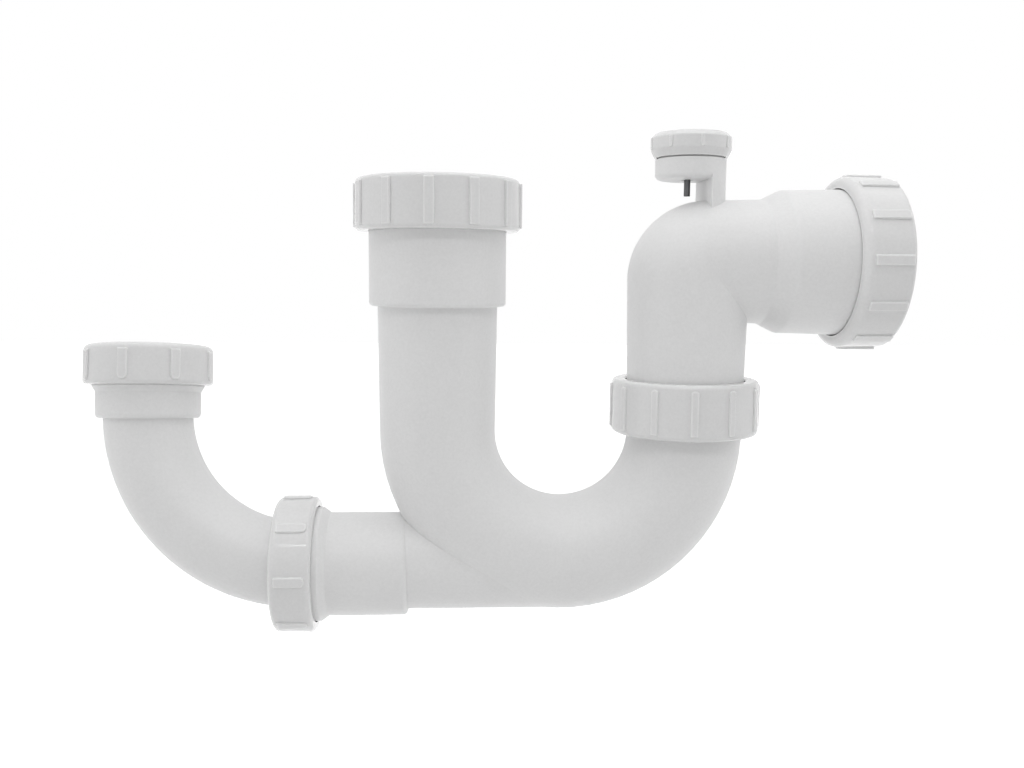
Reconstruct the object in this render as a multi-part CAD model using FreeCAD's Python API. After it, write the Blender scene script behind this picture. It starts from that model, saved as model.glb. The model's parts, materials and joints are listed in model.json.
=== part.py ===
import FreeCAD, Part
import math
import os

# An anti-siphon waste trap, moulded in white polypropylene: a U bend with a compression inlet, a low
# side branch with its own swivelling elbow, and an outlet elbow that carries a small air valve.
# Millimetres. X runs towards the outlet, Y away from the viewer and Z up. The origin is the point on
# the main inlet's axis where the end of the drain pipe comes to rest.

# Pipes that the sockets take, by outside radius
drain_pipe_radius = 21.5
side_pipe_radius = 17.25

# Clearances between pieces that come apart
pipe_clearance = 0.25
washer_clearance = 0.1
nut_hole_clearance = 0.35
turning_gap = 0.5
seat_gap = 0.05

# What every compression nut holds down
slip_washer_thickness = 1.4
seal_lip = 1.2
seal_lip_rounding = 0.3
nut_plate = 2.6
thread_depth = 0.8
thread_cover = 1.5
mouth_rounding = 0.6
seal_cone_length = 4.0
seal_tip = 0.6
seal_edge = 0.4

# U bend and the two legs that stand on it
bend_radius = 49.9
inlet_stop_height = 54.0
stop_ledge = 1.5
body_wall = 3.0
leg_draft = 0.6
bore_draft = 0.3

# Main inlet socket and its nut
inlet_mouth = 39.2
inlet_socket_foot = 4.5
inlet_guide = 20.0
inlet_seal_thickness = 2.65
inlet_thread_wall = 1.5
inlet_body_step = 0.2
inlet_foot_rounding = 1.6
inlet_nut_length = 20.0
inlet_nut_wall = 5.1
inlet_rib_turn = -5.0

# Union between the U bend and the outlet elbow
union_rim_height = 11.9
union_thread_wall = 5.05
union_thread_foot = 1.5
union_neck_foot = 1.0
union_neck_step = 0.2
union_seal_thickness = 1.8
union_seal_inset = 0.3
union_flange = 3.1
union_flange_inset = 0.15
union_nut_length = 21.6
union_nut_wall = 3.15
union_hole_clearance = 0.6
union_washer_clearance = 0.4
union_rib_turn = -5.4

# Outlet elbow: a knuckle bend, sharp on the inside
outlet_height = 68.1
knuckle_radius = 7.5
elbow_wall = 3.3
elbow_draft = 0.7
outlet_flare_start = 28.5
outlet_flare_end = 36.1
outlet_flare_foot_rounding = 2.0
outlet_flare_top_rounding = 3.0
outlet_stop_reach = 38.5
outlet_socket_taper = 0.6
outlet_mouth = 34.7
outlet_guide = 20.0
outlet_seal_thickness = 3.85
outlet_thread_wall = 2.6
outlet_nut_length = 19.5
outlet_nut_wall = 4.6
outlet_rib_turn = -1.0

# Side branch, flush with the underside of the U bend
branch_ledge = 0.85
branch_wall = 3.0
branch_lift = 0.15
branch_reach = 15.5
branch_socket_foot = 3.8
branch_socket_wall = 3.1
branch_mouth = 43.1
branch_guide = 33.0
branch_foot_rounding = 1.8
branch_flare_foot = 15.6
branch_flare_top = 12.7
branch_seal_thickness = 2.35
branch_thread_wall = 2.05
branch_nut_wall = 3.75
branch_rib_turn = 1.0

# Side elbow and its inlet, which lean back together as far as the elbow is swivelled. Its bend leads
# a little way into the mouth of the branch socket, where the seal's room leaves space for it.
side_lean = 8.3
side_bend_radius = 60.9
side_bend_lead = 3.5
side_wall = 2.9
spigot_play = 0.3
spigot_end_gap = 1.5
spigot_chamfer = 1.0
side_stop_rise = 2.05
side_socket_foot = 4.4
side_socket_wall = 2.6
side_mouth = 19.4
side_guide = 9.0
side_foot_rounding = 2.0
side_flare_foot = 13.3
side_flare_top = 11.2
side_seal_thickness = 1.6
side_thread_wall = 1.4
side_nut_wall = 3.0
side_rib_turn = -6.2

# The nuts of the two smaller sockets
small_nut_length = 16.0
small_hole_clearance = 0.9

# Shape of the nuts, and the grip ribs moulded on them
nut_draft = 0.3
large_foot_rounding = 1.9
large_face_rounding = 1.6
outlet_foot_rounding = 2.8
outlet_rib_margin = 3.2
small_foot_rounding = 1.9
small_face_rounding = 2.4
large_rib_count = 12
large_rib_width = 4.0
large_rib_height = 0.9
large_rib_margin = 1.4
union_rib_width = 3.0
union_rib_height = 0.75
union_rib_margin = 2.0
small_rib_count = 8
small_rib_width = 4.0
small_rib_height = 0.8
small_rib_margin = 1.8
rib_root = 1.4
rib_chamfer = 0.3
rib_corner = 0.5
rib_end_share = 0.45

# Air valve on the crown of the outlet elbow
air_gap = 7.9
chamber_radius = 13.9
chamber_wall = 2.9
chamber_floor = 2.5
chamber_height = 7.8
chamber_rounding = 2.0
neck_inset = 1.2
neck_height = 6.3
neck_rounding = 0.3
post_face = 5.5
duct_wall = 2.2
air_hole_radius = 2.6
air_hole_offset = 1.2
guide_rib_count = 3
guide_rib_width = 0.8
guide_clearance = 0.2
seat_ring_width = 1.0
seat_ring_height = 1.2
pin_radius = 1.25
pin_drop = 6.4
pin_tip_rounding = 0.2
pin_recess = 0.3
disc_seal_radius = 4.6
disc_seal_thickness = 1.2
disc_radius = 5.2
disc_thickness = 1.6
disc_rounding = 0.4
disc_hub_radius = 2.2
disc_hub_height = 1.5
disc_hub_rounding = 0.3
disc_lift = 3.0
disc_stop_gap = 0.4

# Screw cap of the valve
cap_radius = 15.8
cap_foot_gap = 0.6
cap_turning_gap = 0.3
cap_plate = 2.5
cap_top_chamfer = 1.8
cap_foot_taper = 3.0
cap_foot_inset = 1.6
cap_thread_depth = 0.4
cap_gasket_thickness = 1.2
cap_stop_radius = 4.2
cap_rib_count = 8
cap_rib_width = 1.6
cap_rib_height = 0.35
cap_rib_turn = 2.5

# Sizes and heights that several pieces share
bend_bore = drain_pipe_radius - stop_ledge
bend_tube = bend_bore + body_wall
bend_z = -inlet_stop_height
arm_x = 2 * bend_radius
branch_bore = side_pipe_radius - branch_ledge
branch_tube = branch_bore + branch_wall
branch_z = bend_z - bend_radius - bend_tube + branch_tube + branch_lift

UP = FreeCAD.Vector(0, 0, 1)
RIGHT = FreeCAD.Vector(1, 0, 0)
LEFT = FreeCAD.Vector(-1, 0, 0)
BACK = FreeCAD.Vector(0, 1, 0)
FRONT = FreeCAD.Vector(0, -1, 0)


def rounded_outline(corners):
    """A closed wire in the XZ plane through (across, up) or (across, up, rounding) corners."""
    points = [FreeCAD.Vector(corner[0], 0, corner[1]) for corner in corners]
    roundings = [corner[2] if len(corner) > 2 else 0.0 for corner in corners]
    entries = []
    exits = []
    arcs = []
    for index, point in enumerate(points):
        before = (points[index - 1] - point).normalize()
        after = (points[(index + 1) % len(points)] - point).normalize()
        rounding = roundings[index]
        if rounding == 0.0:
            entries.append(point)
            exits.append(point)
            arcs.append(None)
            continue
        half_angle = before.getAngle(after) / 2
        trim = rounding / math.tan(half_angle)
        inwards = (before + after).normalize()
        middle = point + inwards * (rounding / math.sin(half_angle) - rounding)
        entries.append(point + before * trim)
        exits.append(point + after * trim)
        arcs.append(Part.Arc(entries[-1], middle, exits[-1]).toShape())
    edges = []
    for index in range(len(points)):
        following = (index + 1) % len(points)
        if arcs[index]:
            edges.append(arcs[index])
        if exits[index].distanceToPoint(entries[following]) > 1e-6:
            edges.append(Part.makeLine(exits[index], entries[following]))
    return Part.Wire(edges)


def turned(corners):
    """A solid turned about the Z axis from (radius, height, rounding) corners."""
    return Part.Face(rounded_outline(corners)).revolve(FreeCAD.Vector(), UP, 360)


def placed(shape, where, outwards=UP):
    """The shape with its own Z axis turned to point outwards, and its origin moved."""
    copy = shape.copy()
    copy.Placement = FreeCAD.Placement(where, FreeCAD.Rotation(UP, outwards))
    return copy


def joined(shapes):
    """One solid from shapes that overlap or share a face."""
    return shapes[0].multiFuse(shapes[1:])


def swept_bend(section_radius, start, normal, centre, degrees):
    """A round section carried round a centre that lies in the XZ plane."""
    section = Part.Face(Part.Wire(Part.makeCircle(section_radius, start, normal)))
    return section.revolve(centre, BACK, degrees)


class Fitting:
    """A socket for a plain pipe end, with its heights counted outwards from the pipe stop."""

    def __init__(self, pipe, mouth, guide, seal, thread_wall, nut_wall, nut_length, hole_clearance):
        self.bore = pipe + pipe_clearance
        self.guide = guide
        self.chamber = self.bore + seal
        self.core = self.chamber + thread_wall
        self.crest = self.core + thread_depth
        self.mouth = mouth
        self.seal_top = mouth + seat_gap + seal_lip
        self.washer_foot = self.seal_top + seat_gap
        self.washer_top = self.washer_foot + slip_washer_thickness
        self.nut_ceiling = self.washer_top + seat_gap
        self.nut_face = self.nut_ceiling + nut_plate
        self.nut_foot = self.nut_face - nut_length
        self.thread_foot = self.nut_foot + thread_cover
        self.nut_bore = self.crest + turning_gap
        self.nut_outside = self.nut_bore + nut_wall
        self.nut_hole = self.bore + hole_clearance


def socket_outside(fitting, lower_corners):
    """A solid from the socket's foot up to its threaded end."""
    foot = lower_corners[0][1]
    thread_shoulder = fitting.thread_foot + thread_depth
    threaded_end = [
        (fitting.crest, fitting.thread_foot),
        (fitting.core, thread_shoulder),
        (fitting.core, fitting.mouth, mouth_rounding),
        (0, fitting.mouth),
    ]
    return turned([(0, foot)] + lower_corners + threaded_end)


def socket_inside(fitting):
    """The room for the pipe's end, opening by a cone into the room for the seal."""
    cone_top = fitting.guide + seal_cone_length
    return turned([
        (0, 0),
        (fitting.bore, 0),
        (fitting.bore, fitting.guide),
        (fitting.chamber, cone_top),
        (fitting.chamber, fitting.mouth),
        (0, fitting.mouth),
    ])


def compression_seal(fitting):
    """A rubber ring with a coned tip, and a lip that the slip washer presses on."""
    inside = fitting.bore + washer_clearance / 2
    slope = (fitting.chamber - fitting.bore) / seal_cone_length
    outside = fitting.chamber - seat_gap
    tip_outside = inside + seal_tip
    tip_height = fitting.guide + (tip_outside + seat_gap - fitting.bore) / slope
    cone_top = fitting.guide + seal_cone_length
    return turned([
        (inside, tip_height),
        (tip_outside, tip_height),
        (outside, cone_top),
        (outside, fitting.mouth + seat_gap),
        (fitting.core - seal_edge, fitting.mouth + seat_gap),
        (fitting.core - seal_edge, fitting.seal_top, seal_lip_rounding),
        (inside, fitting.seal_top),
    ])


def flat_ring(inner, outer, foot, top):
    """A plain ring of rectangular section."""
    return turned([(inner, foot), (outer, foot), (outer, top), (inner, top)])


def slip_washer(fitting):
    """The thin ring that lets the nut turn without dragging the seal round."""
    inner = fitting.bore + washer_clearance
    outer = fitting.nut_bore - turning_gap / 2
    return flat_ring(inner, outer, fitting.washer_foot, fitting.washer_top)


def grip_rib(outside, height, width, foot, top, foot_rounding, top_rounding):
    """One rib on the front of a nut, chamfered along its outer edges."""
    half = width / 2
    outline = rounded_outline([
        (-half, foot, foot_rounding),
        (half, foot, foot_rounding),
        (half, top, top_rounding),
        (-half, top, top_rounding),
    ])
    face = Part.Face(outline)
    face.translate(FRONT * (outside - rib_root))
    rib = face.extrude(FRONT * (rib_root + height))
    crown = outside + height
    outer_edges = [edge for edge in rib.Edges if max(-v.Y for v in edge.Vertexes) > crown - 1e-6
                   and min(-v.Y for v in edge.Vertexes) > crown - 1e-6]
    return rib.makeChamfer(min(rib_chamfer, height / 2), outer_edges)


def ribbed(body, rib, count, first_turn):
    """The body with a ring of copies of the rib, the first one turned from the front."""
    ribs = []
    for number in range(count):
        copy = rib.copy()
        copy.rotate(FreeCAD.Vector(), UP, first_turn + number * 360 / count)
        ribs.append(copy)
    return body.multiFuse(ribs)


def nut_body(bore, outside, hole, foot, ceiling, face, foot_rounding, face_rounding):
    """A cup turned over: threaded skirt, closed end and the hole that the pipe goes through."""
    return turned([
        (bore, foot),
        (outside, foot, foot_rounding),
        (outside - nut_draft, face, face_rounding),
        (hole, face, face_rounding / 2),
        (hole, ceiling),
        (bore, ceiling),
    ])


def large_nut(fitting, first_turn, foot_rounding, foot_margin):
    """A nut for the drain pipe, with square-ended ribs."""
    body = nut_body(fitting.nut_bore, fitting.nut_outside, fitting.nut_hole, fitting.nut_foot,
                    fitting.nut_ceiling, fitting.nut_face, foot_rounding, large_face_rounding)
    rib = grip_rib(fitting.nut_outside - nut_draft / 2, large_rib_height, large_rib_width,
                   fitting.nut_foot + foot_margin, fitting.nut_face - large_rib_margin,
                   rib_corner, rib_corner)
    return ribbed(body, rib, large_rib_count, first_turn)


def small_nut(fitting, first_turn):
    """A nut for the side pipe, with ribs that start half-round and run out at the closed end."""
    body = nut_body(fitting.nut_bore, fitting.nut_outside, fitting.nut_hole, fitting.nut_foot,
                    fitting.nut_ceiling, fitting.nut_face, small_foot_rounding, small_face_rounding)
    rib = grip_rib(fitting.nut_outside - nut_draft / 2, small_rib_height, small_rib_width,
                   fitting.nut_foot + small_rib_margin, fitting.nut_face - small_face_rounding,
                   small_rib_width * rib_end_share, rib_corner)
    return ribbed(body, rib, small_rib_count, first_turn)


main_inlet = Fitting(drain_pipe_radius, inlet_mouth, inlet_guide, inlet_seal_thickness,
                     inlet_thread_wall, inlet_nut_wall, inlet_nut_length, nut_hole_clearance)
outlet = Fitting(drain_pipe_radius, outlet_mouth, outlet_guide, outlet_seal_thickness,
                 outlet_thread_wall, outlet_nut_wall, outlet_nut_length, nut_hole_clearance)
branch = Fitting(side_pipe_radius, branch_mouth, branch_guide, branch_seal_thickness,
                 branch_thread_wall, branch_nut_wall, small_nut_length, small_hole_clearance)
side_inlet = Fitting(side_pipe_radius, side_mouth, side_guide, side_seal_thickness,
                     side_thread_wall, side_nut_wall, small_nut_length, small_hole_clearance)

branch_socket_radius = branch.bore + branch_socket_wall
branch_socket_z = branch_z + branch_tube - branch_socket_radius
branch_at = FreeCAD.Vector(-branch_reach, 0, branch_socket_z)
outlet_z = bend_z + outlet_height
outlet_at = FreeCAD.Vector(arm_x + outlet_stop_reach, 0, outlet_z)
side_bend_x = -branch_reach - branch_mouth + side_bend_lead
side_bend_z = branch_socket_z + side_bend_radius
side_at = FreeCAD.Vector(side_bend_x - side_bend_radius, 0, side_bend_z + side_stop_rise)


def leaned(shape):
    """A piece of the side inlet, swivelled back about the branch's axis."""
    copy = shape.copy()
    copy.rotate(branch_at, LEFT, side_lean)
    return copy


def small_socket_corners(fitting, radius, foot, rounding, flare_foot, flare_top):
    """A small socket's plain body and the flare under its thread."""
    return [
        (radius, foot, rounding),
        (radius, fitting.mouth - flare_foot),
        (fitting.crest, fitting.mouth - flare_top),
    ]


# Union: heights above the U bend's centre, radii from the bend's own bore
union_core = bend_bore + union_thread_wall
union_crest = union_core + thread_depth
union_nut_bore = union_crest + turning_gap
union_nut_outside = union_nut_bore + union_nut_wall
union_rim = bend_z + union_rim_height
union_seal_foot = union_rim + seat_gap
union_seal_top = union_seal_foot + union_seal_thickness
union_flange_foot = union_seal_top + seat_gap
union_flange_top = union_flange_foot + union_flange
union_washer_foot = union_flange_top + seat_gap
union_washer_top = union_washer_foot + slip_washer_thickness
union_nut_ceiling = union_washer_top + seat_gap
union_nut_face = union_nut_ceiling + nut_plate
union_nut_foot = union_nut_face - union_nut_length
elbow_tail = bend_bore + elbow_wall
knuckle_tube = elbow_tail + elbow_draft
elbow_run = knuckle_tube + elbow_draft
knuckle_x = arm_x + knuckle_radius
knuckle_z = outlet_z - knuckle_radius


def trap_body():
    """U bend, inlet socket, threaded arm and side branch in one moulding."""
    leg_top = bend_tube + leg_draft
    bore_top = bend_bore + bore_draft
    leg = turned([(0, bend_z), (bend_tube, bend_z), (leg_top, -inlet_socket_foot / 2),
                  (0, -inlet_socket_foot / 2)])
    leg_bore = turned([(0, bend_z), (bend_bore, bend_z), (bore_top, 0), (0, 0)])
    socket_radius = main_inlet.crest + inlet_body_step
    socket = socket_outside(main_inlet, [
        (socket_radius, -inlet_socket_foot, inlet_foot_rounding),
        (socket_radius, main_inlet.thread_foot),
    ])

    left_end = FreeCAD.Vector(0, 0, bend_z)
    bend_centre = FreeCAD.Vector(bend_radius, 0, bend_z)
    bend = swept_bend(bend_tube, left_end, UP, bend_centre, -180)
    bend_inside = swept_bend(bend_bore, left_end, UP, bend_centre, -180)

    arm = turned([
        (0, bend_z - union_neck_foot),
        (bend_tube + union_neck_step, bend_z - union_neck_foot),
        (union_core, bend_z + union_thread_foot),
        (union_core, union_rim, mouth_rounding),
        (0, union_rim),
    ])
    arm_bore = turned([(0, bend_z), (bend_bore, bend_z), (bend_bore, union_rim), (0, union_rim)])
    arm_at = FreeCAD.Vector(arm_x, 0, 0)

    branch_root = FreeCAD.Vector(bend_radius, 0, branch_z)
    branch_length = bend_radius + branch_reach
    tube = Part.makeCylinder(branch_tube, branch_length, branch_root, LEFT)
    tube_bore = Part.makeCylinder(branch_bore, branch_length, branch_root, LEFT)
    branch_socket = socket_outside(branch, small_socket_corners(
        branch, branch_socket_radius, -branch_socket_foot, branch_foot_rounding,
        branch_flare_foot, branch_flare_top))

    outside = joined([leg, socket, bend, placed(arm, arm_at), tube,
                      placed(branch_socket, branch_at, LEFT)])
    inside = joined([leg_bore, socket_inside(main_inlet), bend_inside, placed(arm_bore, arm_at),
                     tube_bore, placed(socket_inside(branch), branch_at, LEFT)])
    return outside.cut(inside)


def knuckle(tube_radius):
    """The outer part of a bend whose section is wider than its path: it turns about its own chord."""
    half_chord = math.sqrt(tube_radius ** 2 - knuckle_radius ** 2)
    chord_front = FreeCAD.Vector(knuckle_x, -half_chord, knuckle_z)
    chord_back = FreeCAD.Vector(knuckle_x, half_chord, knuckle_z)
    far_side = FreeCAD.Vector(arm_x - tube_radius, 0, knuckle_z)
    rim = Part.Arc(chord_front, far_side, chord_back).toShape()
    chord = Part.makeLine(chord_back, chord_front)
    section = Part.Face(Part.Wire([rim, chord]))
    return section.revolve(FreeCAD.Vector(knuckle_x, 0, knuckle_z), BACK, 90)


# Air valve: heights from the underside of its chamber, which stands clear of the elbow's crown
valve_foot = outlet_z + knuckle_tube + air_gap
floor_top = valve_foot + chamber_floor
shoulder = valve_foot + chamber_height
neck_top = shoulder + neck_height
chamber_inside = chamber_radius - chamber_wall
neck_radius = chamber_radius - neck_inset
seat_top = floor_top + seat_ring_height
disc_seal_foot = seat_top + seat_gap
disc_foot = disc_seal_foot + disc_seal_thickness
disc_top = disc_foot + disc_thickness
hub_top = disc_top + disc_hub_height
gasket_foot = neck_top + seat_gap
gasket_top = gasket_foot + cap_gasket_thickness
cap_ceiling = gasket_top + seat_gap
cap_top = cap_ceiling + cap_plate
cap_foot = shoulder + cap_foot_gap
cap_bore = neck_radius + cap_thread_depth + cap_turning_gap
valve_at = FreeCAD.Vector(arm_x, 0, 0)
air_hole_at = FreeCAD.Vector(arm_x - air_hole_offset, 0, 0)


def right_of(face, radius, foot, top):
    """The part of a round bar that lies to the right of a flat face."""
    bar = Part.makeCylinder(radius, top - foot, FreeCAD.Vector(0, 0, foot))
    block = Part.makeBox(radius, 2 * radius, top - foot, FreeCAD.Vector(face, -radius, foot))
    return bar.common(block)


def air_hole():
    """A round hole through the chamber's floor, less the guide ribs that steer the pin."""
    hole = turned([(0, valve_foot), (air_hole_radius, valve_foot), (air_hole_radius, seat_top),
                   (0, seat_top)])
    guide_inside = pin_radius + guide_clearance
    ribs = []
    for number in range(guide_rib_count):
        rib = Part.makeBox(air_hole_radius, guide_rib_width, chamber_floor,
                           FreeCAD.Vector(guide_inside, -guide_rib_width / 2, valve_foot))
        rib.rotate(FreeCAD.Vector(), UP, 90 + number * 360 / guide_rib_count)
        ribs.append(rib)
    return placed(hole.cut(ribs), air_hole_at)


def outlet_elbow():
    """Union flange, knuckle bend, outlet socket, air post and valve chamber in one moulding."""
    tail = turned([
        (0, union_flange_foot),
        (union_crest - union_flange_inset, union_flange_foot, seal_edge),
        (union_crest - union_flange_inset, union_flange_top, seal_edge),
        (elbow_tail, union_flange_top),
        (knuckle_tube, knuckle_z),
        (0, knuckle_z),
    ])
    tail_bore = turned([(0, union_flange_foot), (bend_bore, union_flange_foot),
                        (bend_bore, knuckle_z), (0, knuckle_z)])
    run_foot = knuckle_x - outlet_at.x
    flare_foot = outlet_flare_start - outlet_stop_reach
    flare_top = outlet_flare_end - outlet_stop_reach
    socket_radius = outlet.crest - outlet_socket_taper
    run_and_socket = socket_outside(outlet, [
        (knuckle_tube, run_foot),
        (elbow_run, flare_foot, outlet_flare_foot_rounding),
        (socket_radius, flare_top, outlet_flare_top_rounding),
        (outlet.crest, outlet.nut_foot),
    ])
    run_bore = turned([(0, run_foot), (bend_bore, run_foot), (bend_bore, 0), (0, 0)])

    chamber = turned([
        (0, valve_foot),
        (chamber_radius, valve_foot, chamber_rounding),
        (chamber_radius, shoulder),
        (neck_radius, shoulder),
        (neck_radius, neck_top, neck_rounding),
        (0, neck_top),
    ])
    post_top = valve_foot + chamber_rounding + seat_gap
    post = right_of(post_face, chamber_radius, outlet_z, post_top)
    room = turned([(0, floor_top), (chamber_inside, floor_top), (chamber_inside, neck_top),
                   (0, neck_top)])
    seat_ring = flat_ring(0, air_hole_radius + seat_ring_width, floor_top, seat_top)
    duct = right_of(post_face + duct_wall, chamber_inside, outlet_z, floor_top)

    outside = joined([placed(tail, valve_at), knuckle(knuckle_tube),
                      placed(run_and_socket, outlet_at, RIGHT),
                      placed(chamber, valve_at), placed(post, valve_at)])
    waterway = joined([placed(tail_bore, valve_at), knuckle(bend_bore),
                       placed(run_bore, outlet_at, RIGHT),
                       placed(socket_inside(outlet), outlet_at, RIGHT)])
    airway = placed(room, valve_at).cut(placed(seat_ring, air_hole_at)).fuse(placed(duct, valve_at))
    return outside.cut(waterway).cut(airway).cut(air_hole())


def side_elbow():
    """A long bend with a plain end in the branch socket and a socket of its own on top."""
    tube = side_pipe_radius + pipe_clearance - spigot_play
    bore = tube - side_wall
    spigot_length = branch_mouth - side_bend_lead - spigot_end_gap
    spigot = turned([
        (0, spigot_end_gap),
        (tube, spigot_end_gap, spigot_chamfer),
        (tube, spigot_end_gap + spigot_length),
        (0, spigot_end_gap + spigot_length),
    ])
    spigot_bore = turned([
        (0, spigot_end_gap),
        (bore, spigot_end_gap),
        (bore, spigot_end_gap + spigot_length),
        (0, spigot_end_gap + spigot_length),
    ])
    bend_start = FreeCAD.Vector(side_bend_x, 0, branch_socket_z)
    bend_centre = FreeCAD.Vector(side_bend_x, 0, side_bend_z)
    bend = swept_bend(tube, bend_start, LEFT, bend_centre, 90)
    bend_inside = swept_bend(bore, bend_start, LEFT, bend_centre, 90)
    riser = turned([(0, -side_stop_rise), (tube, -side_stop_rise), (tube, 0), (0, 0)])
    riser_bore = turned([(0, -side_stop_rise), (bore, -side_stop_rise), (bore, 0), (0, 0)])
    socket = socket_outside(side_inlet, small_socket_corners(
        side_inlet, side_inlet.bore + side_socket_wall, -side_socket_foot, side_foot_rounding,
        side_flare_foot, side_flare_top))
    outside = joined([placed(spigot, branch_at, LEFT), bend, placed(riser, side_at),
                      placed(socket, side_at)])
    inside = joined([placed(spigot_bore, branch_at, LEFT), bend_inside,
                     placed(riser_bore, side_at), placed(socket_inside(side_inlet), side_at)])
    return leaned(outside.cut(inside))


def union_nut():
    """The nut that hangs on the elbow's flange and draws it down on the U bend's arm."""
    body = nut_body(union_nut_bore, union_nut_outside, elbow_tail + union_hole_clearance,
                    union_nut_foot, union_nut_ceiling, union_nut_face, large_foot_rounding,
                    large_face_rounding)
    rib = grip_rib(union_nut_outside - nut_draft / 2, union_rib_height, union_rib_width,
                   union_nut_foot + union_rib_margin, union_nut_face - union_rib_margin,
                   rib_corner, union_rib_width * rib_end_share)
    return placed(ribbed(body, rib, large_rib_count, union_rib_turn), valve_at)


def union_slip_washer():
    """The thin ring between the elbow's flange and the union nut."""
    ring = flat_ring(elbow_tail + union_washer_clearance, union_nut_bore - turning_gap / 2,
                     union_washer_foot, union_washer_top)
    return placed(ring, valve_at)


def union_seal():
    """The flat rubber ring on the rim of the U bend's arm."""
    ring = flat_ring(bend_bore + union_seal_inset, union_core - union_seal_inset,
                     union_seal_foot, union_seal_top)
    return placed(ring, valve_at)


def valve_cap():
    """The chamber's screw cap, with a post inside that stops the disc's lift."""
    body = turned([
        (cap_bore, cap_foot),
        (cap_radius - cap_foot_inset, cap_foot),
        (cap_radius, cap_foot + cap_foot_taper, cap_foot_taper),
        (cap_radius, cap_top - cap_top_chamfer, cap_top_chamfer / 2),
        (cap_radius - cap_top_chamfer, cap_top, cap_top_chamfer / 2),
        (0, cap_top),
        (0, hub_top + disc_lift + disc_stop_gap),
        (cap_stop_radius, hub_top + disc_lift + disc_stop_gap),
        (cap_stop_radius, cap_ceiling),
        (cap_bore, cap_ceiling),
    ])
    rib = grip_rib(cap_radius, cap_rib_height, cap_rib_width, cap_foot + cap_foot_taper,
                   cap_top - cap_top_chamfer, cap_rib_width * rib_end_share, cap_rib_height)
    return placed(ribbed(body, rib, cap_rib_count, cap_rib_turn), valve_at)


def valve_cap_gasket():
    """The ring that closes the joint between the chamber's rim and the cap."""
    ring = flat_ring(chamber_inside, neck_radius + cap_thread_depth, gasket_foot, gasket_top)
    return placed(ring, valve_at)


def valve_disc():
    """The disc that lifts to let air in, with a hub round the pin."""
    disc = turned([
        (pin_radius, disc_foot),
        (disc_radius, disc_foot),
        (disc_radius, disc_top, disc_rounding),
        (disc_hub_radius, disc_top),
        (disc_hub_radius, hub_top, disc_hub_rounding),
        (pin_radius, hub_top),
    ])
    return placed(disc, air_hole_at)


def valve_disc_seal():
    """The rubber face under the disc."""
    ring = flat_ring(pin_radius, disc_seal_radius, disc_seal_foot, disc_foot)
    return placed(ring, air_hole_at)


def valve_pin():
    """The steel pin that weighs the disc down and hangs out of the air hole."""
    pin = turned([
        (0, valve_foot - pin_drop),
        (pin_radius, valve_foot - pin_drop, pin_tip_rounding),
        (pin_radius, hub_top - pin_recess),
        (0, hub_top - pin_recess),
    ])
    return placed(pin, air_hole_at)


pieces = {
    "trap_body": trap_body(),
    "outlet_elbow": outlet_elbow(),
    "side_elbow": side_elbow(),
    "main_inlet_nut": large_nut(main_inlet, inlet_rib_turn, large_foot_rounding, large_rib_margin),
    "main_inlet_slip_washer": slip_washer(main_inlet),
    "main_inlet_seal": compression_seal(main_inlet),
    "union_nut": union_nut(),
    "union_slip_washer": union_slip_washer(),
    "union_seal": union_seal(),
    "outlet_nut": placed(large_nut(outlet, outlet_rib_turn, outlet_foot_rounding, outlet_rib_margin),
                         outlet_at, RIGHT),
    "outlet_slip_washer": placed(slip_washer(outlet), outlet_at, RIGHT),
    "outlet_seal": placed(compression_seal(outlet), outlet_at, RIGHT),
    "branch_nut": placed(small_nut(branch, branch_rib_turn), branch_at, LEFT),
    "branch_slip_washer": placed(slip_washer(branch), branch_at, LEFT),
    "branch_seal": placed(compression_seal(branch), branch_at, LEFT),
    "side_inlet_nut": leaned(placed(small_nut(side_inlet, side_rib_turn), side_at)),
    "side_inlet_slip_washer": leaned(placed(slip_washer(side_inlet), side_at)),
    "side_inlet_seal": leaned(placed(compression_seal(side_inlet), side_at)),
    "valve_cap": valve_cap(),
    "valve_cap_gasket": valve_cap_gasket(),
    "valve_disc": valve_disc(),
    "valve_disc_seal": valve_disc_seal(),
    "valve_pin": valve_pin(),
}

os.makedirs("parts", exist_ok=True)
for name, piece in pieces.items():
    solid = piece.Solids[0] if len(piece.Solids) == 1 else piece
    solid.exportStep(os.path.join("parts", name + ".step"))
    print(name, "solids", len(piece.Solids), "valid", piece.isValid(), "cm3",
          round(piece.Volume / 1000, 2))
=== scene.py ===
# %% [markdown]
# # An anti-siphon waste trap
#
# The trap is an assembly of white polypropylene mouldings: a U bend that holds the water seal, an outlet
# elbow with an air valve on its crown, a side elbow, and the nuts that squeeze a rubber seal round each pipe.
# The solids come from the frame and keep their size and place. This lesson gives them their finish, cuts the
# threads that the nuts run on, and sets up the light and the camera.

# %% Load the frame
import json
import math

import bpy
from mathutils import Matrix, Vector


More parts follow.
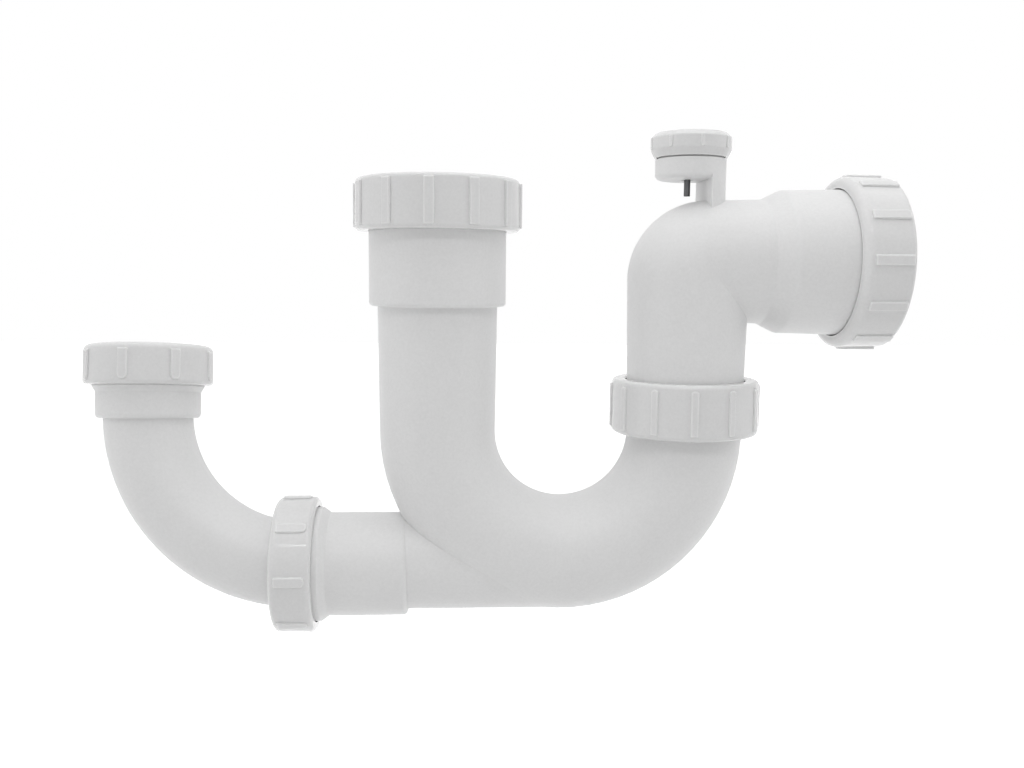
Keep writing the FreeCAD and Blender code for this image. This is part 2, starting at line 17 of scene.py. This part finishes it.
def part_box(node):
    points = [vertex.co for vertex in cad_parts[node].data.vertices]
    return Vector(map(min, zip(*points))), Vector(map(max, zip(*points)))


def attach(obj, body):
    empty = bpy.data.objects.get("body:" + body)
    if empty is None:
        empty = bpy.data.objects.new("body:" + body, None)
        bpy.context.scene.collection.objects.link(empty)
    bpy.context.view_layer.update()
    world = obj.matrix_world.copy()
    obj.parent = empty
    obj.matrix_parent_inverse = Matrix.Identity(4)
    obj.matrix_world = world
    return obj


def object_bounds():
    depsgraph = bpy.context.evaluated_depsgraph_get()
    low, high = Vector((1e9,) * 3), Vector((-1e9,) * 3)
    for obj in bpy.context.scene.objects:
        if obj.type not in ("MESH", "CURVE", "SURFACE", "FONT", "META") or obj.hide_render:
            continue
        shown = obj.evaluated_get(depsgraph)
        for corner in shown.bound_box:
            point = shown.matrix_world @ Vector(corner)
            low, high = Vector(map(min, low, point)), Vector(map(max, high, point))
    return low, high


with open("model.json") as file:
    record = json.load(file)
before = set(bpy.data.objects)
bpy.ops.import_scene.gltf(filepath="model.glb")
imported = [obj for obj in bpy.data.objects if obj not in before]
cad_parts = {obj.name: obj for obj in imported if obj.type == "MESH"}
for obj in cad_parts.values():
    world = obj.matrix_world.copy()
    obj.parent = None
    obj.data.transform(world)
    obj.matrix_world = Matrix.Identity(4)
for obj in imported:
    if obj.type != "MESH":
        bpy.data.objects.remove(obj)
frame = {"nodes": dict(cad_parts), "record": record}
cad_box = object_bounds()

MM = 0.001
nodes = frame["nodes"]


# %% [markdown]
# ## Helpers for shader nodes
#
# A material is a graph of small nodes. By hand each node is added, its fields are typed in and its sockets
# are wired. These helpers do the same in one line each, so that a graph reads from top to bottom. Wherever
# they take a value, it may be a number or another node's output.

# %% Node helpers
def fill(tree, node, inputs):
    """Fills a node's inputs by name or number: a number is written, and another node's output is linked."""
    for name, value in dict(inputs).items():
        if isinstance(value, bpy.types.NodeSocket):
            tree.links.new(value, node.inputs[name])
        else:
            node.inputs[name].default_value = value
    return node


def add_node(tree, kind, inputs=(), **settings):
    """Adds a shader node, sets its properties and fills its inputs."""
    node = tree.nodes.new(kind)
    for name, value in settings.items():
        setattr(node, name, value)
    return fill(tree, node, inputs)


def maths(tree, operation, first, second=0.0):
    """Adds a maths node and gives its output."""
    return add_node(tree, "ShaderNodeMath", {0: first, 1: second}, operation=operation).outputs[0]


def object_place(tree):
    """The place on the object in metres, which stays with the piece when it moves."""
    return add_node(tree, "ShaderNodeTexCoord").outputs["Object"]


def noise(tree, place, patch_size, shape):
    """A soft random value around one half, in patches of about a size in metres. Shape holds its detail."""
    scale = maths(tree, "DIVIDE", 1.0, patch_size)
    texture = add_node(tree, "ShaderNodeTexNoise", {"Vector": place, "Scale": scale, **shape})
    return texture.outputs["Fac"]


def new_group(name, inputs, outputs):
    """Starts a node group with float inputs and typed outputs. Gives its tree, its inputs and its outputs."""
    tree = bpy.data.node_groups.new(name, "ShaderNodeTree")
    for title, value in inputs.items():
        socket = tree.interface.new_socket(title, in_out="INPUT", socket_type="NodeSocketFloat")
        socket.default_value = value
    for title, kind in outputs.items():
        tree.interface.new_socket(title, in_out="OUTPUT", socket_type=kind)
    return tree, tree.nodes.new("NodeGroupInput").outputs, tree.nodes.new("NodeGroupOutput").inputs


print("node helpers ready")


# %% [markdown]
# ## Moulded grain
#
# A mould for drainage parts is not polished. Its steel is lightly spark eroded or blasted, and the plastic
# copies it, so the surface has a fine satin grain and, over it, the slow waves of a casting that shrank as it
# cooled. The grain is far finer than a mesh could carry, so it is a height for the Bump node. Two noise
# textures on the object's own coordinates make it, and each material then uses it at its own depth.

# %% Group: moulded grain
grain, grain_in, grain_out = new_group(
    "moulded_grain",
    {"Grain size": 0.7 * MM, "Wave size": 9.0 * MM, "Wave share": 0.5},
    {"Height": "NodeSocketFloat"})
place = object_place(grain)
fine = noise(grain, place, grain_in["Grain size"], {"Detail": 3.0, "Roughness": 0.6})
wave = noise(grain, place, grain_in["Wave size"], {"Detail": 1.0, "Roughness": 0.4})
waves = maths(grain, "MULTIPLY", wave, grain_in["Wave share"])
grain.links.new(maths(grain, "ADD", fine, waves), grain_out["Height"])
print("group", grain.name)


# %% [markdown]
# ## Flow marks
#
# Where the melt ran into the mould it left faint clouds that are a little duller or a little whiter. They
# show mostly in the gloss. A painted image could hold them, but it would need seams. Noise has none. The
# group gives a soft mask around one half, and each material says how far it moves the colour and the gloss.

# %% Group: flow marks
CLOUD_SHARE = 0.7
STREAK_SHARE = 0.3

flow, flow_in, flow_out = new_group(
    "flow_marks",
    {"Cloud size": 24.0 * MM, "Streak size": 3.0 * MM},
    {"Mask": "NodeSocketFloat"})
place = object_place(flow)
cloud = noise(flow, place, flow_in["Cloud size"], {"Detail": 4.0, "Roughness": 0.55, "Distortion": 0.6})
streak = noise(flow, place, flow_in["Streak size"], {"Detail": 2.0, "Roughness": 0.5})
clouds = maths(flow, "MULTIPLY", cloud, CLOUD_SHARE)
streaks = maths(flow, "MULTIPLY", streak, STREAK_SHARE)
flow.links.new(maths(flow, "ADD", clouds, streaks), flow_out["Mask"])
print("group", flow.name)


# %% [markdown]
# ## Parting line
#
# The body and the elbows come out of a mould that opens across the plane Y = 0, and a hair-fine ridge stays
# where its halves met. It runs along the outside of every bend. It could be cut into the mesh, but it is too
# low to show in the outline, so a height for the Bump node is enough: a mask that is one on that plane and
# fades to nothing within a fraction of a millimetre.

# %% Group: parting line
parting, parting_in, parting_out = new_group(
    "parting_line", {"Line width": 0.16 * MM}, {"Mask": "NodeSocketFloat"})
across = add_node(parting, "ShaderNodeSeparateXYZ", {"Vector": object_place(parting)}).outputs["Y"]
fade = add_node(parting, "ShaderNodeMapRange", {
    "Value": maths(parting, "ABSOLUTE", across),
    "From Min": 0.0, "From Max": parting_in["Line width"],
    "To Min": 1.0, "To Max": 0.0}, interpolation_type="SMOOTHSTEP")
parting.links.new(fade.outputs["Result"], parting_out["Mask"])
print("group", parting.name)


# %% [markdown]
# ## Soft edges and painted rim highlights
#
# No moulded edge is perfectly sharp. The Bevel node rounds the normal near an edge without touching the mesh,
# which has to keep its size. The group also gives a rim mask for a painted highlight: every outer corner, such
# as the rim of a nut and the edges of its ribs, is painted a little whiter than the faces beside it. The
# Ambient Occlusion node finds the outer corners when it looks inside the piece: there its rays soon meet the
# next face, and nowhere else do they.

# %% Group: soft edges and painted rim highlights
EDGE_SAMPLES = 6
RIM_SAMPLES = 4
FACE_OPENNESS = 1.0    # what the node finds inside, behind a flat face
RIM_OPENNESS = 0.6     # and behind a full rim

edges, edges_in, edges_out = new_group(
    "soft_edges_painted_rims",
    {"Radius": 0.35 * MM, "Rim width": 0.8 * MM},
    {"Normal": "NodeSocketVector", "Rim": "NodeSocketFloat"})
rounded = add_node(edges, "ShaderNodeBevel", {"Radius": edges_in["Radius"]}, samples=EDGE_SAMPLES)
within = add_node(
    edges, "ShaderNodeAmbientOcclusion", {"Distance": edges_in["Rim width"]},
    inside=True, only_local=True, samples=RIM_SAMPLES)
# The rim mask is one at an outer corner. It places the painted highlight and the polish of the rims.
rim = add_node(edges, "ShaderNodeMapRange", {
    "Value": within.outputs["AO"],
    "From Min": FACE_OPENNESS, "From Max": RIM_OPENNESS,
    "To Min": 0.0, "To Max": 1.0})
edges.links.new(rounded.outputs["Normal"], edges_out["Normal"])
edges.links.new(rim.outputs["Result"], edges_out["Rim"])
print("group", edges.name)


# %% [markdown]
# ## Helpers for materials
#
# Every finish of this trap is one Principled shader whose colour, gloss and normal vary a little over the
# surface. These helpers place a group, vary a colour, and turn a height into a normal.

# %% Material helpers
def start_material(name):
    """A new material with its tree and its Principled shader, which is linked to the output."""
    material = bpy.data.materials.new(name)
    material.use_nodes = True
    tree = material.node_tree
    return material, tree, tree.nodes["Principled BSDF"]


def place_group(tree, group, inputs=()):
    """Places a node group in a material, with its own values, and gives its outputs."""
    return add_node(tree, "ShaderNodeGroup", inputs, node_tree=group).outputs


def shade(colour, factor):
    """A colour made darker or lighter by a factor, with its alpha."""
    return [min(1.0, channel * factor) for channel in colour] + [1.0]


def blend(tree, share, first, second):
    """Mixes two colours. A Mix node takes colours in its sockets 6 and 7 and puts them out of its socket 2."""
    return add_node(tree, "ShaderNodeMix", {"Factor": share, 6: first, 7: second}, data_type="RGBA").outputs[2]


def tinted(tree, colour, mask, spread):
    """Darkens and lightens one colour by a mask, up to the spread each way."""
    return blend(tree, mask, shade(colour, 1.0 - spread), shade(colour, 1.0 + spread))


def varied(tree, mask, spread, least):
    """A roughness that rises from its least value by up to the spread."""
    return maths(tree, "ADD", maths(tree, "MULTIPLY", mask, spread), least)


def bump(tree, height, depth, normal=None):
    """Turns a height into a normal, at a depth in metres, over another normal where one is given."""
    inputs = {"Height": height, "Distance": depth, "Strength": 1.0}
    if normal is not None:
        inputs["Normal"] = normal
    return add_node(tree, "ShaderNodeBump", inputs).outputs["Normal"]


print("material helpers ready")


# %% [markdown]
# ## White polypropylene
#
# All the white pieces are one plastic in two finishes. The mouldings are satin. The nuts and the valve's cap
# come from a smoother mould and carry thin highlights. One function builds both, so they stay alike, and the
# differences are its arguments: the colour, the gloss, the grain's depth, how much whiter the rims are painted
# as a painted highlight, and whether there is a parting line. The colour is also mottled by a few percent, with
# painted shade in the pores of the grain and the flow marks' own tone. Polypropylene lets a little light in, so
# a small constant subsurface keeps its shadows soft.

# %% Material: white plastic
PORE_SIZE = 1.1 * MM
# Painted shade: PORE_SHADE_SHARE is the share of the mottle that paints the pores of the grain darker.
PORE_SHADE_SHARE = 0.67       # of the mottle, which the pores and the flow marks share
FLOW_SHARE = 0.33
MOTTLE = 0.09           # how far the colour goes from its middle, before the noise evens it out
CLOUD_DULLNESS = 0.12   # added to the roughness by the flow marks
RIM_POLISH = 0.08       # taken from the roughness at a rim, which handling polishes
LINE_HEIGHT = 0.08 * MM
SAME_DEPTH = (1.0, 1.0, 1.0)    # light of each colour goes equally deep


def white_plastic(name, colour, roughness, mirror, grain_depth, edge_radius, painted_rim_highlight, parted):
    """One finish of the white plastic. Mirror is its specular level, and painted_rim_highlight how much whiter
    a rim is painted, a painted highlight.
    """
    material, tree, shader = start_material(name)
    mask = place_group(tree, flow)["Mask"]
    soft = place_group(tree, edges, {"Radius": edge_radius})
    pores = place_group(tree, grain, {"Grain size": PORE_SIZE, "Wave share": 0.0})["Height"]
    # Painted shade: the pores of the grain are painted a little darker, and the flow marks add their own tone.
    from_flow = maths(tree, "MULTIPLY", mask, FLOW_SHARE)
    painted_pore_shade = maths(tree, "MULTIPLY", pores, PORE_SHADE_SHARE)
    face_colour = tinted(tree, colour, maths(tree, "ADD", from_flow, painted_pore_shade), MOTTLE)
    dull = maths(tree, "MULTIPLY", maths(tree, "SUBTRACT", mask, 0.5), CLOUD_DULLNESS)
    polish = maths(tree, "MULTIPLY", soft["Rim"], -RIM_POLISH)
    normal = bump(tree, place_group(tree, grain)["Height"], grain_depth, soft["Normal"])
    if parted:
        normal = bump(tree, place_group(tree, parting)["Mask"], LINE_HEIGHT, normal)
    # Painted highlight: the base colour turns whiter by painted_rim_highlight at the outer corners that the rim
    # mask finds.
    fill(tree, shader, {
        "Base Color": blend(tree, soft["Rim"], face_colour, shade(colour, 1.0 + painted_rim_highlight)),
        "Roughness": maths(tree, "ADD", maths(tree, "ADD", dull, polish), roughness),
        "Normal": normal,
        "IOR": 1.49, "Specular IOR Level": mirror,
        "Subsurface Weight": 0.2, "Subsurface Radius": SAME_DEPTH, "Subsurface Scale": 1.5 * MM})
    return material


body_white = white_plastic(
    "satin_white_plastic", colour=(0.80, 0.80, 0.80), roughness=0.44, mirror=0.5,
    grain_depth=0.030 * MM, edge_radius=0.35 * MM, painted_rim_highlight=0.05, parted=True)
nut_white = white_plastic(
    "glossy_white_plastic", colour=(0.78, 0.78, 0.78), roughness=0.10, mirror=0.22,
    grain_depth=0.004 * MM, edge_radius=0.40 * MM, painted_rim_highlight=0.18, parted=False)
print("materials", body_white.name, nut_white.name)


# %% [markdown]
# ## Natural polyethylene, rubber and steel
#
# The slip washers and the valve's disc are left in the plastic's natural colour, milky and waxy. The seals
# are black rubber with a dull, faintly mottled skin. The pin that hangs out of the valve is drawn steel, so
# its scratches run along it: the same noise, squeezed across the pin and stretched along it by a Mapping node.

# %% Materials: washers, seals and pin
SCRATCHES_PER_METRE = 9000.0
SCRATCH_STRETCH = 0.04


def waxy_plastic(name, colour):
    """A milky, unpigmented plastic that light goes deep into."""
    material, tree, shader = start_material(name)
    mask = place_group(tree, flow, {"Cloud size": 8.0 * MM})["Mask"]
    fill(tree, shader, {
        "Base Color": tinted(tree, colour, mask, spread=0.05),
        "Roughness": varied(tree, mask, spread=0.2, least=0.32),
        "Normal": bump(tree, place_group(tree, grain)["Height"], depth=0.008 * MM),
        "Subsurface Weight": 0.4, "Subsurface Radius": SAME_DEPTH, "Subsurface Scale": 2.0 * MM})
    return material


def moulded_rubber(name, colour):
    """A dull rubber with a close, shallow grain."""
    material, tree, shader = start_material(name)
    mask = place_group(tree, flow, {"Cloud size": 5.0 * MM, "Streak size": 1.0 * MM})["Mask"]
    skin = place_group(tree, grain, {"Grain size": 0.3 * MM})["Height"]
    fill(tree, shader, {
        "Base Color": tinted(tree, colour, mask, spread=0.35),
        "Roughness": varied(tree, mask, spread=0.25, least=0.50),
        "Normal": bump(tree, skin, depth=0.02 * MM)})
    return material


def drawn_steel(name, colour):
    """A dark steel with scratches along Z."""
    material, tree, shader = start_material(name)
    along = add_node(tree, "ShaderNodeMapping", {
        "Vector": object_place(tree), "Scale": (1.0, 1.0, SCRATCH_STRETCH)}).outputs["Vector"]
    lines = add_node(tree, "ShaderNodeTexNoise", {
        "Vector": along, "Scale": SCRATCHES_PER_METRE, "Detail": 3.0, "Roughness": 0.6}).outputs["Fac"]
    fill(tree, shader, {
        "Base Color": tinted(tree, colour, lines, spread=0.25),
        "Roughness": varied(tree, lines, spread=0.25, least=0.25),
        "Normal": bump(tree, lines, depth=0.01 * MM),
        "Metallic": 1.0})
    return material


washer_white = waxy_plastic("natural_polyethylene", (0.74, 0.74, 0.72))
seal_black = moulded_rubber("black_rubber", (0.035, 0.035, 0.036))
pin_grey = drawn_steel("drawn_steel", (0.125, 0.125, 0.13))
print("materials", washer_white.name, seal_black.name, pin_grey.name)


# %% [markdown]
# ## Every solid gets its finish
#
# By hand a material is picked in each piece's material slot. The part's record names a slot for each node,
# so a loop can do the same for all of them.

# %% Give every solid its finish
finishes = {"white_plastic": body_white, "nut_plastic": nut_white, "washer_plastic": washer_white,
            "seal_rubber": seal_black, "pin_steel": pin_grey}
slot_of = {part["node"]: part["material_slot"] for part in frame["record"]["subparts"]}
for name, node in nodes.items():
    node.data.materials.clear()
    node.data.materials.append(finishes[slot_of[name]])
print("finished", {slot: list(slot_of.values()).count(slot) for slot in finishes})


# %% [markdown]
# ## Threads
#
# Each nut runs on a coarse moulded thread. The solids leave it out: they have the plain core that it stands
# on, and the nuts clear its crest. By hand a thread is one small outline, wider at its foot than at its crest,
# that climbs by the pitch while it goes once round. The Screw modifier does exactly that. The outline starts
# as a plane, stood up and narrowed at its crest. Its ends then sink into the core, so that the ridge runs out
# instead of stopping square, and they are closed.

# %% Modelling helpers
def only(item):
    """Makes one object the selected and active one."""
    for other in bpy.context.selected_objects:
        other.select_set(False)
    item.select_set(True)
    bpy.context.view_layer.objects.active = item


def apply_place(item):
    """Moves an object's place into its mesh, so that the object sits at the origin."""
    only(item)
    bpy.ops.object.transform_apply(location=True, rotation=True, scale=True)


def open_whole(item):
    """Opens a piece in edit mode with all of it selected."""
    only(item)
    bpy.ops.object.mode_set(mode="EDIT")
    bpy.ops.mesh.select_mode(type="FACE")
    bpy.ops.mesh.select_all(action="SELECT")


print("modelling helpers ready")

# %% The ridge's outline
SUNK = 0.25 * MM      # how far the ridge's foot lies inside the core
FOOT_SHARE = 0.55     # the widths of the foot and the crest, as shares of the pitch
CREST_SHARE = 0.22


def ridge_outline(name, root, crest, pitch):
    """The ridge's section, standing in the XZ plane: a plane that is stood up and narrowed at its crest."""
    middle = (root + crest) / 2.0
    bpy.ops.mesh.primitive_plane_add(size=1.0, location=(middle, 0.0, 0.0), rotation=(math.pi / 2.0, 0.0, 0.0))
    ridge = bpy.context.object
    ridge.name = name
    ridge.scale = (crest - root, FOOT_SHARE * pitch, 1.0)
    apply_place(ridge)
    for vertex in ridge.data.vertices:
        if vertex.co.x > middle:
            vertex.co.z *= CREST_SHARE / FOOT_SHARE
    open_whole(ridge)
    bpy.ops.mesh.delete(type="ONLY_FACE")
    bpy.ops.object.mode_set(mode="OBJECT")
    return ridge


print("outline narrows to", round(CREST_SHARE / FOOT_SHARE, 2), "of its foot")

# %% The ridge's climb and its ends
STEPS_PER_TURN = 72
RUN_OUT_DEGREES = 50.0
TOUCHING = 0.0001 * MM
SMOOTH_BELOW = math.radians(35.0)


def climb(ridge, turns, pitch):
    """Sweeps the outline up and round, by the Screw modifier."""
    screw = ridge.modifiers.new("climb", "SCREW")
    screw.angle = math.tau * turns
    screw.screw_offset = pitch * turns
    screw.iterations = 1
    screw.steps = screw.render_steps = round(STEPS_PER_TURN * turns)
    screw.use_merge_vertices = False
    bpy.ops.object.modifier_apply(modifier="climb")


def sink_ends(ridge, root, turns, pitch):
    """Lets the first and the last stretch of the ridge run out into the core."""
    run_out = pitch * RUN_OUT_DEGREES / 360.0
    for vertex in ridge.data.vertices:
        radius = math.hypot(vertex.co.x, vertex.co.y)
        part_turn = math.atan2(vertex.co.y, vertex.co.x) % math.tau / math.tau
        whole_turns = round(vertex.co.z / pitch - part_turn)
        along = pitch * (part_turn + whole_turns)
        kept = min(1.0, max(0.0, min(along, pitch * turns - along) / run_out))
        wanted = root + (radius - root) * kept
        vertex.co.x *= wanted / radius
        vertex.co.y *= wanted / radius


def close_ends(ridge):
    """Closes the ridge's two ends, turns its faces outwards and smooths its slow curves."""
    open_whole(ridge)
    bpy.ops.mesh.remove_doubles(threshold=TOUCHING)
    bpy.ops.mesh.fill_holes(sides=4)
    bpy.ops.mesh.select_all(action="SELECT")
    bpy.ops.mesh.normals_make_consistent(inside=False)
    bpy.ops.object.mode_set(mode="OBJECT")
    bpy.ops.object.shade_smooth_by_angle(angle=SMOOTH_BELOW)


print("a full turn has", STEPS_PER_TURN, "steps")

# %% A thread, set in its place
THREAD_SIZES = {
    # core radius, crest radius, length along the axis and pitch, in millimetres
    "thread_main_inlet": (25.9, 26.7, 13.0, 4.0),
    "thread_union": (25.05, 25.85, 9.6, 4.0),
    "thread_outlet": (28.2, 29.0, 12.5, 4.0),
    "thread_branch": (21.9, 22.7, 9.0, 4.0),
    "thread_side_inlet": (20.5, 21.3, 9.0, 4.0),
    "thread_valve": (12.7, 13.1, 5.8, 3.0),
}
LEAD_IN = 0.2 * MM    # the plain stretch between a thread and its rim


def facing(direction, start):
    """A matrix that turns +Z to a direction and moves the origin to a start."""
    turn = direction.to_track_quat("Z", "Y").to_matrix().to_4x4()
    return Matrix.Translation(start) @ turn


def thread(name, rim, outward, body):
    """Makes one thread. It climbs to just short of a rim, whose middle is given, and rides on a body."""
    core, crest, length, pitch = (value * MM for value in THREAD_SIZES[name])
    root = core - SUNK
    foot_width = FOOT_SHARE * pitch
    turns = (length - foot_width) / pitch
    ridge = ridge_outline(name, root, crest, pitch)
    climb(ridge, turns, pitch)
    sink_ends(ridge, root, turns, pitch)
    close_ends(ridge)
    start = Vector(rim) - (length + LEAD_IN) * outward
    ridge.data.transform(facing(outward, start) @ Matrix.Translation((0.0, 0.0, foot_width / 2.0)))
    ridge.data.materials.append(finishes["white_plastic"])
    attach(ridge, body)
    print(name, "turns", round(turns, 2), "faces", len(ridge.data.polygons))


# %% Threads on the sockets, the arm and the valve
UP, LEFT, RIGHT = Vector((0.0, 0.0, 1.0)), Vector((-1.0, 0.0, 0.0)), Vector((1.0, 0.0, 0.0))
SIDE_RIM_HEIGHT = 14.9 * MM    # from the side inlet's mount to its rim


def middle_of(node):
    """The middle of a node's box."""
    low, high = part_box(node)
    return (low + high) / 2.0


inlet_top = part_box("trap_body")[1].z
thread("thread_main_inlet", (0.0, 0.0, inlet_top), UP, "trap")

union_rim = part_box("union_seal")[0].z
thread("thread_union", (middle_of("union_nut").x, 0.0, union_rim), UP, "trap")

outlet_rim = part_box("outlet_elbow")[1].x
thread("thread_outlet", (outlet_rim, 0.0, middle_of("outlet_nut").z), RIGHT, "elbow")

branch_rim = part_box("trap_body")[0].x
thread("thread_branch", (branch_rim, 0.0, middle_of("branch_nut").z), LEFT, "trap")

side_mount = next(mount for mount in frame["record"]["mounts"] if mount["name"] == "side_inlet")
side_lean = Vector(side_mount["axis"])
side_rim = Vector(side_mount["pos_m"]) + SIDE_RIM_HEIGHT * side_lean
thread("thread_side_inlet", side_rim, side_lean, "side_elbow")

neck_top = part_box("outlet_elbow")[1].z
thread("thread_valve", (middle_of("valve_cap").x, 0.0, neck_top), UP, "elbow")


# %% [markdown]
# ## Floor
#
# The object hangs from the pipe in its main inlet, so the floor lies below everything that its side elbow can
# reach. A plane with a bright colour would still render grey in soft light. Light Path lets the floor add its
# own glow for the rays that look at it, straight or in a mirror, so it shows white. Scattered rays don't see
# that glow, so it lights nothing, and the floor still takes a shadow.

# %% Floor
FLOOR_DROP = 85.0 * MM
FLOOR_SIZE = 6.0
FLOOR_COLOUR = (0.86, 0.86, 0.86, 1.0)
FLOOR_GLOW = 0.68
WHITE = (1.0, 1.0, 1.0, 1.0)


def seen_directly(tree):
    """One for rays from the camera, off a gloss or through glass, and zero for scattered ones."""
    ray = add_node(tree, "ShaderNodeLightPath").outputs
    sharp = maths(tree, "MAXIMUM", ray["Is Glossy Ray"], ray["Is Transmission Ray"])
    return maths(tree, "MAXIMUM", ray["Is Camera Ray"], sharp)


floor_height = cad_box[0].z - FLOOR_DROP
bpy.ops.mesh.primitive_plane_add(size=FLOOR_SIZE, location=(0.0, 0.0, floor_height))
floor = bpy.context.object
floor.name = "studio_floor"
floor_paint, tree, shader = start_material("pale_floor")
fill(tree, shader, {
    "Base Color": FLOOR_COLOUR, "Roughness": 0.9, "Specular IOR Level": 0.1, "Emission Color": WHITE,
    "Emission Strength": maths(tree, "MULTIPLY", seen_directly(tree), FLOOR_GLOW)})
floor.data.materials.append(floor_paint)
print("floor at", round(floor_height, 4))


# %% [markdown]
# ## World
#
# The surroundings are white to the camera and in a mirror, as the floor is. What lights the object is a pale
# tent: a little brighter at its top, its sides and its back, and darker in front, behind the camera. A picture
# of a studio would do this too. Here the ray's direction does it, one term for each wall, so that each can be
# set by one number.

# %% World
TENT_FOOT = -0.2    # where the walls begin to brighten, as the Z of a ray's direction
WALL_LOW = 0.29
WALL_HIGH = 0.43
SIDE_WALLS = 0.55
BACK_GLOW = 0.30
FRONT_SHADE = 0.23


def wall(tree, toward, strength):
    """The glow of one wall: the square of how far a ray points toward it, times its strength."""
    return maths(tree, "MULTIPLY", maths(tree, "MULTIPLY", toward, toward), strength)


world = bpy.data.worlds.new("studio")
bpy.context.scene.world = world
world.use_nodes = True
tree = world.node_tree
tree.nodes.clear()
direction = add_node(tree, "ShaderNodeSeparateXYZ", {
    "Vector": add_node(tree, "ShaderNodeTexCoord").outputs["Generated"]}).outputs
rise = add_node(tree, "ShaderNodeMapRange", {
    "Value": direction["Z"], "From Min": TENT_FOOT, "From Max": 1.0,
    "To Min": WALL_LOW, "To Max": WALL_HIGH}).outputs["Result"]
side_walls = wall(tree, direction["X"], SIDE_WALLS)
front_wall = wall(tree, maths(tree, "MINIMUM", direction["Y"], 0.0), FRONT_SHADE)
back_wall = wall(tree, maths(tree, "MAXIMUM", direction["Y"], 0.0), BACK_GLOW)
tent = maths(tree, "ADD", maths(tree, "SUBTRACT", maths(tree, "ADD", rise, side_walls), front_wall), back_wall)
lit = add_node(tree, "ShaderNodeBackground", {"Color": WHITE, "Strength": tent})
seen = add_node(tree, "ShaderNodeBackground", {"Color": WHITE, "Strength": 1.0})
both = add_node(tree, "ShaderNodeMixShader", {0: seen_directly(tree), 1: lit.outputs[0], 2: seen.outputs[0]})
add_node(tree, "ShaderNodeOutputWorld", {"Surface": both.outputs[0]})
print("world", world.name, "from", WALL_LOW, "to", WALL_HIGH)


# %% [markdown]
# ## Lamps
#
# A key lamp in front and above is a narrow strip, so that it leaves a short, clear shadow under each nut and
# draws one fine bright line on a glossy one. A broad lamp above whitens what faces up, and two at the sides
# bring out the edges of the pipes. All four are area lamps, because a point or a sun would leave hard
# shadows, and the photograph has none.

# %% Lamps
LAMPS = {
    # place from the object's middle and size, both in metres, and power in watts
    "lamp_key": ((0.0, -0.70, 0.65), (0.55, 0.06), 1.25),
    "lamp_above": ((0.0, -0.10, 0.90), (1.2, 0.9), 3.9),
    "lamp_left": ((-1.05, -0.25, 0.20), (0.9, 1.4), 1.4),
    "lamp_right": ((1.05, -0.25, 0.20), (0.9, 1.4), 1.3),
}


def lamp(name, place, target, size, watts):
    """A rectangular area lamp at a place, turned to face a target."""
    data = bpy.data.lights.new(name, "AREA")
    data.shape = "RECTANGLE"
    data.size, data.size_y = size
    data.energy = watts
    item = bpy.data.objects.new(name, data)
    bpy.context.scene.collection.objects.link(item)
    item.location = place
    item.rotation_euler = (target - place).to_track_quat("-Z", "Y").to_euler()


object_middle = (cad_box[0] + cad_box[1]) / 2.0
for name, (offset, size, watts) in LAMPS.items():
    lamp(name, object_middle + Vector(offset), object_middle, size, watts)
print("lamps", len(bpy.data.lights))


# %% [markdown]
# ## Camera
#
# The photograph was taken by hand from about 39 cm away, level with the foot of the inlet's socket. The
# camera looked a few degrees down and to the right and was turned half a degree about its own axis, which is
# why the uprights lean outwards a little. The lens isn't shifted, so every other view keeps its framing too.

# %% Camera
PICTURE_WIDTH = 1024.0
FOCAL_PIXELS = 986.0
SENSOR = 36.0
CAMERA_PLACE = (5.6 * MM, -392.4 * MM, 6.9 * MM)
LOOK_DOWN = math.radians(6.15)
LOOK_RIGHT = math.radians(3.52)
ROLL = math.radians(0.52)

camera_data = bpy.data.cameras.new("camera")
camera_data.sensor_width = SENSOR
camera_data.lens = SENSOR * FOCAL_PIXELS / PICTURE_WIDTH
camera_data.clip_start = 0.01
camera_data.clip_end = 20.0
camera = bpy.data.objects.new("camera", camera_data)
bpy.context.scene.collection.objects.link(camera)
to_the_right = Matrix.Rotation(-LOOK_RIGHT, 4, "Z")
down = Matrix.Rotation(math.pi / 2.0 - LOOK_DOWN, 4, "X")
rolled = Matrix.Rotation(ROLL, 4, "Z")
camera.location = CAMERA_PLACE
camera.rotation_euler = (to_the_right @ down @ rolled).to_euler()
bpy.context.scene.camera = camera
bpy.context.scene.view_settings.view_transform = "Standard"
print("camera lens", round(camera_data.lens, 2), "at", CAMERA_PLACE)
